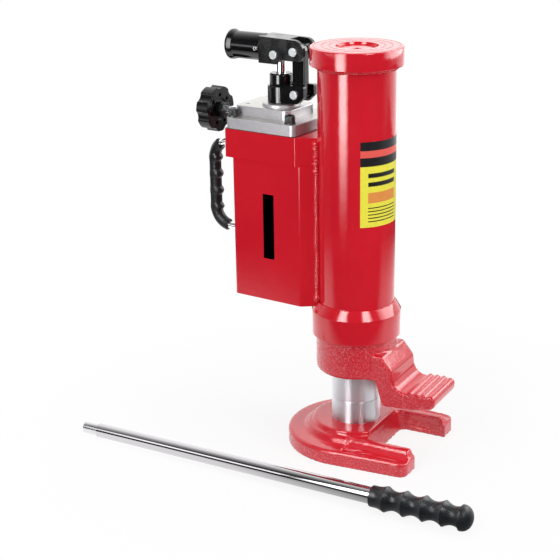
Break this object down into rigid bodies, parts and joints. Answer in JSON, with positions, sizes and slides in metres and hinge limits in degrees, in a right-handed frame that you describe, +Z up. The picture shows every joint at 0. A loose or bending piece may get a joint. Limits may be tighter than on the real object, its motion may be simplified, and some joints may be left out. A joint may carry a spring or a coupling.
{
  "type": "hydraulic toe jack",
  "caption": "Hydraulic toe jack: cylinder with flat load head and serrated lifting toe that rises on a fixed ram, hand pump, release valve, carry handle and loose pump lever.",
  "frame": {"origin": "ram axis at the underside of the base", "axes": "+Z up along the ram, +X towards the lifting toe, -X towards the pump and reservoir"},
  "size_m": [0.5094, 0.2615, 0.4816],
  "materials": {
    "red_paint": "gloss enamel",
    "red_cast": "gloss enamel over a rough casting",
    "ground_steel": "ground bright",
    "bearing_bronze": "turned",
    "seal_rubber": "moulded",
    "cast_aluminium": "fine-blasted casting",
    "black_oxide": "black oxide",
    "black_paint": "gloss enamel",
    "zinc_plate": "bright zinc",
    "hard_chrome": "polished",
    "bright_tip": "turned bright",
    "black_plastic": "moulded, satin",
    "black_vinyl": "dipped, satin"
  },
  "bodies": {
    "base": {"base_casting": "red_cast", "ram_dowel": "ground_steel", "ram_foot": "ground_steel", "ram": "ground_steel", "piston": "ground_steel", "piston_seal": "seal_rubber", "piston_nut": "ground_steel"},
    "jack_body": {"cap_screws": "black_oxide", "carry_grip": "black_vinyl", "carry_handle": "hard_chrome", "cylinder_tube": "red_paint", "gland_collar": "red_paint", "gland_nut": "black_paint", "guide_bush": "bearing_bronze", "head_cap": "red_paint", "head_weld": "red_paint", "lock_washers": "black_oxide", "lower_link_pin": "zinc_plate", "lower_pin_clip": "zinc_plate", "lower_spacers": "zinc_plate", "plunger_seal": "seal_rubber", "pump_barrel": "black_oxide", "pump_body": "cast_aluminium", "pump_collar": "black_paint", "pump_gasket": "seal_rubber", "reservoir_tank": "red_paint", "reservoir_welds": "red_paint", "rod_seal": "seal_rubber", "rod_wiper": "seal_rubber", "seal_retainer": "ground_steel", "suction_ball": "hard_chrome", "suction_strainer": "zinc_plate", "toe_casting": "red_cast", "valve_ball": "hard_chrome", "valve_block": "red_paint", "valve_gland": "black_oxide", "vent_screw": "black_oxide"},
    "pump_link": {"link": "black_paint"},
    "lever_socket": {"socket_tube": "black_paint", "socket_bracket": "black_paint", "clamp_screw": "zinc_plate", "upper_link_pin": "zinc_plate", "upper_pin_clip": "zinc_plate", "upper_spacers": "zinc_plate", "plunger_pin": "zinc_plate", "plunger_pin_clip": "zinc_plate"},
    "pump_plunger": {"plunger": "hard_chrome"},
    "release_valve": {"valve_stem": "hard_chrome", "stem_locknut": "black_oxide", "handwheel": "black_plastic"},
    "pump_lever": {"lever_tube": "hard_chrome", "lever_tip": "bright_tip", "lever_grip": "black_vinyl"}
  },
  "joints": [
    {"name": "lift_slide", "type": "slide", "parent": "base", "child": "jack_body", "axis": [0, 0, 1], "range_m": [-0.059, 0.165]},
    {"name": "socket_pivot", "type": "hinge", "parent": "pump_link", "child": "lever_socket", "pos_m": [-0.075, 0, 0.464], "axis": [0, 1, 0], "range_deg": [-12, 35]},
    {"name": "link_rock", "type": "hinge", "parent": "jack_body", "child": "pump_link", "pos_m": [-0.075, 0, 0.415], "axis": [0, 1, 0], "range_deg": [-1.3, 0.6]},
    {"name": "plunger_slide", "type": "slide", "parent": "jack_body", "child": "pump_plunger", "axis": [0, 0, 1], "range_m": [-0.0062, 0.0172]},
    {"name": "valve_turn", "type": "hinge", "parent": "jack_body", "child": "release_valve", "pos_m": [-0.16, 0, 0.384], "axis": [-1, 0, 0], "range_deg": [0, 540]},
    {"name": "lever_lift", "type": "slide", "parent": "base", "child": "pump_lever", "axis": [0, 0, 1], "range_m": [0, 0.35]}
  ],
  "couplings": [
    {"joint": "plunger_slide", "follows": "socket_pivot", "m_per_rad": 0.0264},
    {"joint": "link_rock", "follows": "socket_pivot", "ratio": -0.03}
  ]
}
